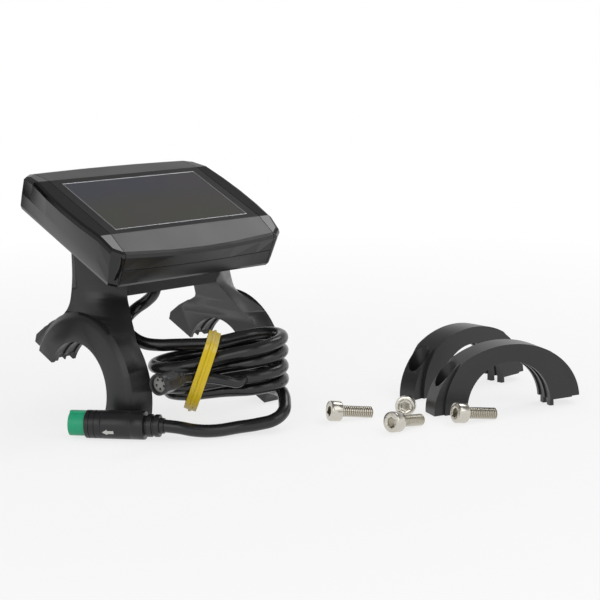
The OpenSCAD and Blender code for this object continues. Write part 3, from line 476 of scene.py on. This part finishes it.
# Corners of the band's path cut back a little, twice
def eased(points, share=0.16):
    out = []
    for a, b in zip(points, points[1:] + points[:1]):
        out.append((a[0] + (b[0] - a[0]) * share, a[1] + (b[1] - a[1]) * share))
        out.append((b[0] + (a[0] - b[0]) * share, b[1] + (a[1] - b[1]) * share))
    return out


def makeTie():
    path = [(d * (tie["near"] if d < 0 else tie["far"]), z * tie["half"]) for d, z in tieShares]
    path = eased(eased(eased(path)), 0.25)
    half, lip = tie["width"] / 2, tie["thick"] * 0.75
    profile = [(-half, 0.05), (-half, lip), (-half * 0.3, lip), (-half * 0.18, tie["wire"]),
               (half * 0.18, tie["wire"]), (half * 0.3, lip), (half, lip), (half, 0.05)]
    bm = bmesh.new()
    loops = []
    for across, out in profile:
        ring = bmesh.ops.create_circle(bm, radius=1, segments=len(path))["verts"]
        for vert, here, before, after in zip(ring, path, path[-1:] + path[:-1], path[1:] + path[:1]):
            run = Vector((after[0] - before[0], after[1] - before[1])).normalized()
            vert.co = (across * mm, (here[0] + run.y * -out) * mm, (here[1] + run.x * out) * mm)
        loops.append([edge for edge in bm.edges if edge.verts[0] in ring and edge.verts[1] in ring])
    for first, second in zip(loops, loops[1:] + loops[:1]):
        bmesh.ops.bridge_loops(bm, edges=first + second)
    bmesh.ops.recalc_face_normals(bm, faces=bm.faces)
    spot = Matrix.Translation(Vector((*hank["place"], tie["mid"])) * mm)
    spot = spot @ Matrix.Rotation(math.radians(hank["turn"]), 4, "Z")
    spot = spot @ Matrix.Translation((tie["along"] * mm, 0, 0)) @ Matrix.Rotation(math.radians(tie["lean"]), 4, "Y")
    bmesh.ops.transform(bm, matrix=spot, verts=bm.verts)
    return bm


hankTie = finished("hankTie", makeTie(), "tie_plastic", "display", ("hank_tie",), bevel=tie["edge"] * mm)
print("tie made")

# Pieces that keep their CAD shape
plainNodes = {"window_gasket": "seal_rubber", "display_panel": "panel_glass", "backlight": "white_plastic",
              "panel_flex": "flex_film", "main_board": "board", "processor": "chip_plastic",
              "lead_header": "white_plastic", "case_seal": "seal_rubber", "case_screws": "stainless",
              "bracket_screws": "stainless", "thread_inserts": "insert_brass", "plug_pins": "pin_brass"}
for node, slotName in plainNodes.items():
    for place in nodes[node].material_slots:
        place.material = finishes[slotName]


# Stage: a white table under soft light
table = {"half": 4, "glowNear": 0.16, "glowFar": 0.5, "glowLeast": 0.74, "tone": 0.92, "rough": 0.9}


# True for rays that should see the white background: the camera's, and those in gloss and glass
def seenRays(tree):
    path = tree.nodes.new("ShaderNodeLightPath")
    total = path.outputs["Is Camera Ray"]
    for name in ("Is Glossy Ray", "Is Transmission Ray"):
        most = tree.nodes.new("ShaderNodeMath")
        most.operation = "MAXIMUM"
        tree.links.new(total, most.inputs[0])
        tree.links.new(path.outputs[name], most.inputs[1])
        total = most.outputs[0]
    return total


def addFloor():
    bm = bmesh.new()
    bmesh.ops.create_grid(bm, x_segments=8, y_segments=8, size=table["half"])
    bmesh.ops.translate(bm, vec=(0, 0, tableTop), verts=bm.verts)
    mesh = meshFrom(bm, "table")
    floor = linked("table", mesh)
    mat, tree, shader = newMaterial("tableWhite")
    shader.inputs["Base Color"].default_value = (table["tone"],) * 3 + (1,)
    shader.inputs["Roughness"].default_value = table["rough"]
    shader.inputs["Specular IOR Level"].default_value = 0.1
    glow = tree.nodes.new("ShaderNodeEmission")
    coords = tree.nodes.new("ShaderNodeTexCoord")
    length = tree.nodes.new("ShaderNodeVectorMath")
    length.operation = "LENGTH"
    tree.links.new(coords.outputs["Object"], length.inputs[0])
    reach = spread(tree, length.outputs["Value"], table["glowLeast"], 1)
    reach.node.inputs["From Min"].default_value = table["glowNear"]
    reach.node.inputs["From Max"].default_value = table["glowFar"]
    share = tree.nodes.new("ShaderNodeMath")
    share.operation = "MULTIPLY"
    tree.links.new(reach, share.inputs[0])
    tree.links.new(seenRays(tree), share.inputs[1])
    mix = tree.nodes.new("ShaderNodeMixShader")
    out = next(node for node in tree.nodes if node.type == "OUTPUT_MATERIAL")
    tree.links.new(share.outputs[0], mix.inputs[0])
    tree.links.new(shader.outputs[0], mix.inputs[1])
    tree.links.new(glow.outputs[0], mix.inputs[2])
    tree.links.new(mix.outputs[0], out.inputs[0])
    mesh.materials.append(mat)


# A black card beside the table, seen only in gloss, darkens what the left side mirrors
card = {"place": (-0.215, 0.25), "width": 0.19, "height": 0.3, "lean": 12, "tone": 0.005}


def addCard():
    bm = bmesh.new()
    bmesh.ops.create_grid(bm, x_segments=1, y_segments=1, size=0.5)
    bmesh.ops.scale(bm, vec=(card["width"], card["height"], 1), verts=bm.verts)
    bmesh.ops.rotate(bm, cent=(0, 0, 0), matrix=Matrix.Rotation(math.radians(card["lean"]), 3, "Z"), verts=bm.verts)
    stand = Matrix.Translation((*card["place"], tableTop + card["height"] / 2)) @ Matrix.Rotation(math.pi / 2, 4, "X")
    bmesh.ops.transform(bm, matrix=stand, verts=bm.verts)
    mesh = meshFrom(bm, "card")
    board = linked("card", mesh)
    mat, _, shader = newMaterial("cardBlack")
    shader.inputs["Base Color"].default_value = (card["tone"],) * 3 + (1,)
    shader.inputs["Specular IOR Level"].default_value = 0
    mesh.materials.append(mat)
    board.visible_camera = False
    board.visible_diffuse = False
    board.visible_shadow = False


# White all round for the camera; in gloss it darkens overhead, as a studio's ceiling does
world = {"level": 0.55, "dark": 0.22, "from": 0.2, "to": 0.6}


def addWorld():
    sky = bpy.data.worlds.new("studio")
    sky.use_nodes = True
    tree = sky.node_tree
    tree.nodes.clear()
    out = tree.nodes.new("ShaderNodeOutputWorld")
    back = tree.nodes.new("ShaderNodeBackground")
    back.inputs["Color"].default_value = (1, 1, 1, 1)
    coords = tree.nodes.new("ShaderNodeTexCoord")
    parts = tree.nodes.new("ShaderNodeSeparateXYZ")
    tree.links.new(coords.outputs["Generated"], parts.inputs[0])
    height = spread(tree, parts.outputs["Z"], 1, world["dark"])
    height.node.inputs["From Min"].default_value = world["from"]
    height.node.inputs["From Max"].default_value = world["to"]
    path = tree.nodes.new("ShaderNodeLightPath")
    forGloss = tree.nodes.new("ShaderNodeMix")
    tree.links.new(path.outputs["Is Glossy Ray"], forGloss.inputs["Factor"])
    forGloss.inputs["A"].default_value = world["level"]
    tree.links.new(height, forGloss.inputs["B"])
    forCamera = tree.nodes.new("ShaderNodeMix")
    tree.links.new(path.outputs["Is Camera Ray"], forCamera.inputs["Factor"])
    tree.links.new(forGloss.outputs[0], forCamera.inputs["A"])
    forCamera.inputs["B"].default_value = 1
    tree.links.new(forCamera.outputs[0], back.inputs["Strength"])
    tree.links.new(back.outputs[0], out.inputs[0])
    scene.world = sky


lamps = {"overhead": {"place": (0.56, -0.055, 0.70), "size": 0.32, "watts": 1.1},
         "left": {"place": (-0.9, -0.5, 0.6), "size": 0.7, "watts": 2.0},
         "front": {"place": (0.2, -1.1, 0.8), "size": 0.8, "watts": 2.5}}
lampAim = (0.02, -0.02, 0.02)  # on the front of the display


def addLamp(name, lamp):
    data = bpy.data.lights.new(name, "AREA")
    data.energy = lamp["watts"]
    data.size = lamp["size"]
    light = linked(name, data)
    place = Vector(lamp["place"])
    aim = (place - Vector(lampAim)).to_track_quat("Z", "Y")
    light.matrix_world = Matrix.Translation(place) @ aim.to_matrix().to_4x4()


addFloor()
addCard()
addWorld()
for name, lamp in lamps.items():
    addLamp(name, lamp)
addCamera()
scene.view_settings.view_transform = "Standard"
print("stage set")
